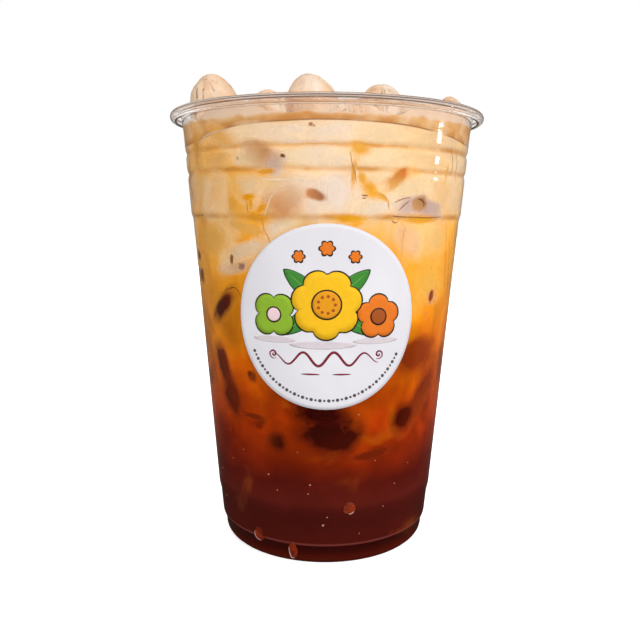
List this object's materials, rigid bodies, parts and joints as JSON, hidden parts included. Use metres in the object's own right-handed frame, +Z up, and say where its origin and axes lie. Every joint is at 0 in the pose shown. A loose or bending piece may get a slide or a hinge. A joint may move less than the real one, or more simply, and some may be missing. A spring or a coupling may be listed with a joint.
{
  "type": "thai iced tea",
  "caption": "Open clear plastic cup of iced milk tea, creamy at the top and dark at the foot, with lumps of ice standing above the rim and a round label on its side.",
  "frame": {"origin": "middle of the cup's foot, on the surface that it stands on", "axes": "+Z up along the cup's axis, -Y towards the middle of the round label"},
  "size_m": [0.0978, 0.0978, 0.1404],
  "materials": {
    "clear_plastic": "clear, thin, glossy",
    "milk_tea": "wet liquid, cream at the top through orange to dark red brown at the foot",
    "label_paper": "smooth coated paper",
    "milky_ice": "wet ice under a film of milk tea"
  },
  "bodies": {
    "root": {"cup": "clear_plastic", "drink": "milk_tea", "label": "label_paper", "ice_left": "milky_ice", "ice_small": "milky_ice", "ice_centre": "milky_ice", "ice_middle": "milky_ice", "ice_right": "milky_ice", "ice_front": "milky_ice", "ice_front_2": "milky_ice", "ice_back_1": "milky_ice", "ice_back_2": "milky_ice", "ice_back_3": "milky_ice", "ice_back_4": "milky_ice", "ice_back_5": "milky_ice", "ice_back_6": "milky_ice"}
  },
  "joints": []
}
